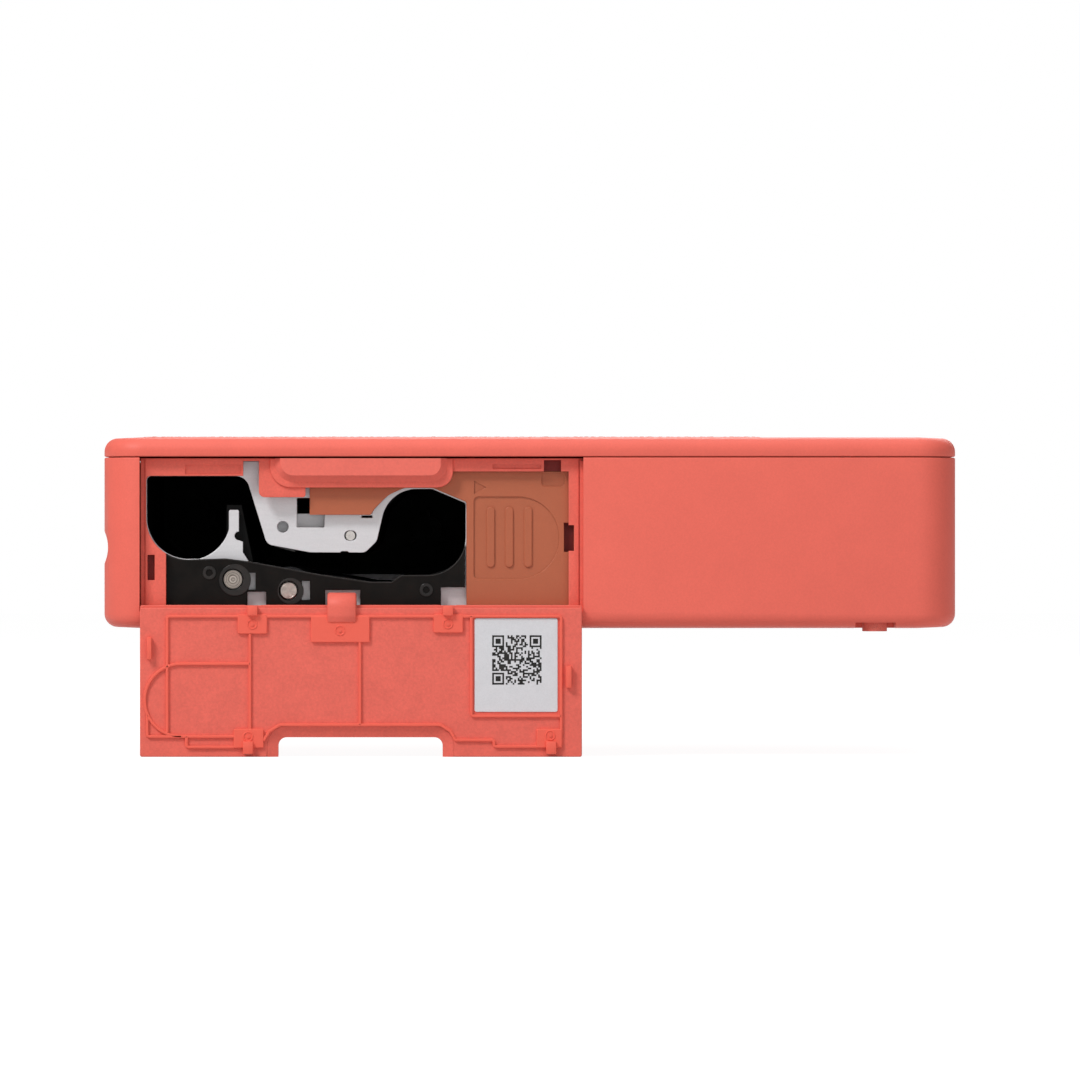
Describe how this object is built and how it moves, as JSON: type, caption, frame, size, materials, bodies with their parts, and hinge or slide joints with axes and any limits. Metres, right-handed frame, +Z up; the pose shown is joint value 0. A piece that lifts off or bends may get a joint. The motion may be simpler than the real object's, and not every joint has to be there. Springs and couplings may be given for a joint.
{
  "type": "compact photo printer",
  "caption": "Pocket photo printer with an open side door to its ink cassette bay, a sliding ejector, a hinged paper end cover and a geared roller drive inside.",
  "frame": {"origin": "centre of the flat underside of the bottom case", "axes": "+X along the length towards the paper end cover, +Y away from the ink cassette door, +Z up through the top cover"},
  "size_m": [0.1458, 0.1051, 0.0548],
  "materials": {
    "case_coral": "fine moulded grain",
    "panel_coral": "speckled raised texture",
    "slider_brown": "satin moulded",
    "guide_black": "satin black",
    "frame_steel": "grey coated steel sheet",
    "bright_steel": "turned",
    "heat_aluminium": "extruded",
    "rubber_grey": "ground rubber",
    "foot_coral": "moulded rubber",
    "gear_white": "acetal",
    "bush_black": "acetal",
    "board_green": "solder mask",
    "battery_grey": "shrink wrap",
    "screw_steel": "zinc plated",
    "label_white": "printed film",
    "lens_clear": "clear diffuser",
    "head_dark": "glazed ceramic",
    "can_steel": "zinc plated can"
  },
  "bodies": {
    "housing": {"bottom_case": "case_coral", "top_cover": "case_coral", "texture_panel": "panel_coral", "rubber_feet": "foot_coral", "case_screws": "screw_steel", "button_board": "board_green", "status_lens": "lens_clear", "bay_bezel": "case_coral", "side_frame_near": "frame_steel", "side_frame_far": "frame_steel", "slider_pins": "screw_steel", "roller_side_cover": "guide_black", "cover_screws": "screw_steel", "bay_liner": "guide_black", "cassette_guide": "guide_black", "feed_bushes": "bush_black", "platen_bushes": "bush_black", "gear_posts": "screw_steel", "drive_motor": "can_steel", "motor_bracket": "frame_steel", "tray_bay": "guide_black", "main_board": "board_green", "usb_socket": "bright_steel", "battery_pack": "battery_grey", "eject_spring": "bright_steel"},
    "cassette_door": {"cassette_door": "case_coral", "door_label": "label_white", "hinge_strap": "case_coral"},
    "eject_slider": {"eject_slider": "slider_brown"},
    "end_cover": {"end_cover": "case_coral"},
    "power_button": {"power_button": "case_coral"},
    "feed_roller": {"feed_roller": "bright_steel", "feed_gear": "gear_white"},
    "platen_roller": {"platen_shaft": "bright_steel", "platen_rubber": "rubber_grey"},
    "pinch_roller": {"pinch_roller": "bright_steel"},
    "pickup_roller": {"pickup_shaft": "bright_steel", "pickup_tyres": "rubber_grey", "pickup_gear": "gear_white"},
    "takeup_spindle": {"takeup_spindle": "gear_white", "takeup_gear": "gear_white"},
    "supply_spindle": {"supply_spindle": "gear_white"},
    "head_carrier": {"head_arm": "frame_steel", "head_rod": "bright_steel", "heat_sink": "heat_aluminium", "print_head": "head_dark"},
    "motor_rotor": {"motor_pinion": "bright_steel", "motor_shaft": "bright_steel"},
    "reduction_gear": {"reduction_gear": "gear_white"},
    "long_idler": {"long_idler_gear": "gear_white"},
    "short_idler": {"short_idler_gear": "gear_white"},
    "pickup_idler": {"pickup_idler_gear": "gear_white"}
  },
  "joints": [
    {"name": "door_hinge", "type": "hinge", "parent": "housing", "child": "cassette_door", "pos_m": [-0.0288, -0.05125, 0.00353], "axis": [-1, 0, 0], "range_deg": [0, 180], "deforming": ["hinge_strap"]},
    {"name": "eject_slide", "type": "slide", "parent": "housing", "child": "eject_slider", "axis": [1, 0, 0], "range_m": [0, 0.003], "stiffness_N_per_m": 120, "springref_m": -0.002, "deforming": ["eject_spring"]},
    {"name": "end_cover_hinge", "type": "hinge", "parent": "housing", "child": "end_cover", "pos_m": [0.072, -0.008, 0.005], "axis": [0, 1, 0], "range_deg": [0, 90]},
    {"name": "power_press", "type": "slide", "parent": "housing", "child": "power_button", "axis": [0, 0, -1], "range_m": [0, 0.0004], "stiffness_N_per_m": 900, "springref_m": -0.0004},
    {"name": "head_lower", "type": "hinge", "parent": "housing", "child": "head_carrier", "pos_m": [-0.0307, 0, 0.01585], "axis": [0, -1, 0], "range_deg": [0, 15]},
    {"name": "feed_spin", "type": "hinge", "parent": "housing", "child": "feed_roller", "pos_m": [-0.05076, 0, 0.00837], "axis": [0, 1, 0], "continuous": true},
    {"name": "platen_spin", "type": "hinge", "parent": "housing", "child": "platen_roller", "pos_m": [-0.04124, 0, 0.00645], "axis": [0, 1, 0], "continuous": true},
    {"name": "pinch_spin", "type": "hinge", "parent": "housing", "child": "pinch_roller", "pos_m": [-0.05076, 0, 0.01286], "axis": [0, 1, 0], "continuous": true},
    {"name": "pickup_spin", "type": "hinge", "parent": "housing", "child": "pickup_roller", "pos_m": [0.015, 0, 0.0213], "axis": [0, 1, 0], "continuous": true},
    {"name": "takeup_spin", "type": "hinge", "parent": "housing", "child": "takeup_spindle", "pos_m": [-0.05868, 0, 0.01943], "axis": [0, 1, 0], "continuous": true},
    {"name": "supply_spin", "type": "hinge", "parent": "housing", "child": "supply_spindle", "pos_m": [-0.0184, 0, 0.0168], "axis": [0, 1, 0], "continuous": true},
    {"name": "rotor_spin", "type": "hinge", "parent": "housing", "child": "motor_rotor", "pos_m": [0.002, 0, 0.014], "axis": [0, 1, 0], "continuous": true},
    {"name": "reduction_spin", "type": "hinge", "parent": "housing", "child": "reduction_gear", "pos_m": [-0.0129, 0, 0.01644], "axis": [0, 1, 0], "continuous": true},
    {"name": "long_idler_spin", "type": "hinge", "parent": "housing", "child": "long_idler", "pos_m": [-0.02677, 0, 0.01389], "axis": [0, 1, 0], "continuous": true},
    {"name": "short_idler_spin", "type": "hinge", "parent": "housing", "child": "short_idler", "pos_m": [-0.04176, 0, 0.01569], "axis": [0, 1, 0], "continuous": true},
    {"name": "pickup_idler_spin", "type": "hinge", "parent": "housing", "child": "pickup_idler", "pos_m": [0.00905, 0, 0.01314], "axis": [0, 1, 0], "continuous": true}
  ],
  "couplings": [
    {"joint": "short_idler_spin", "follows": "feed_spin", "ratio": -0.91667},
    {"joint": "long_idler_spin", "follows": "feed_spin", "ratio": 0.61111},
    {"joint": "reduction_spin", "follows": "feed_spin", "ratio": -1.1},
    {"joint": "rotor_spin", "follows": "feed_spin", "ratio": 4.4},
    {"joint": "pickup_idler_spin", "follows": "feed_spin", "ratio": -3.3},
    {"joint": "pickup_spin", "follows": "feed_spin", "ratio": 2.2},
    {"joint": "takeup_spin", "follows": "feed_spin", "ratio": -0.6875},
    {"joint": "pinch_spin", "follows": "feed_spin", "ratio": -2.3846}
  ]
}
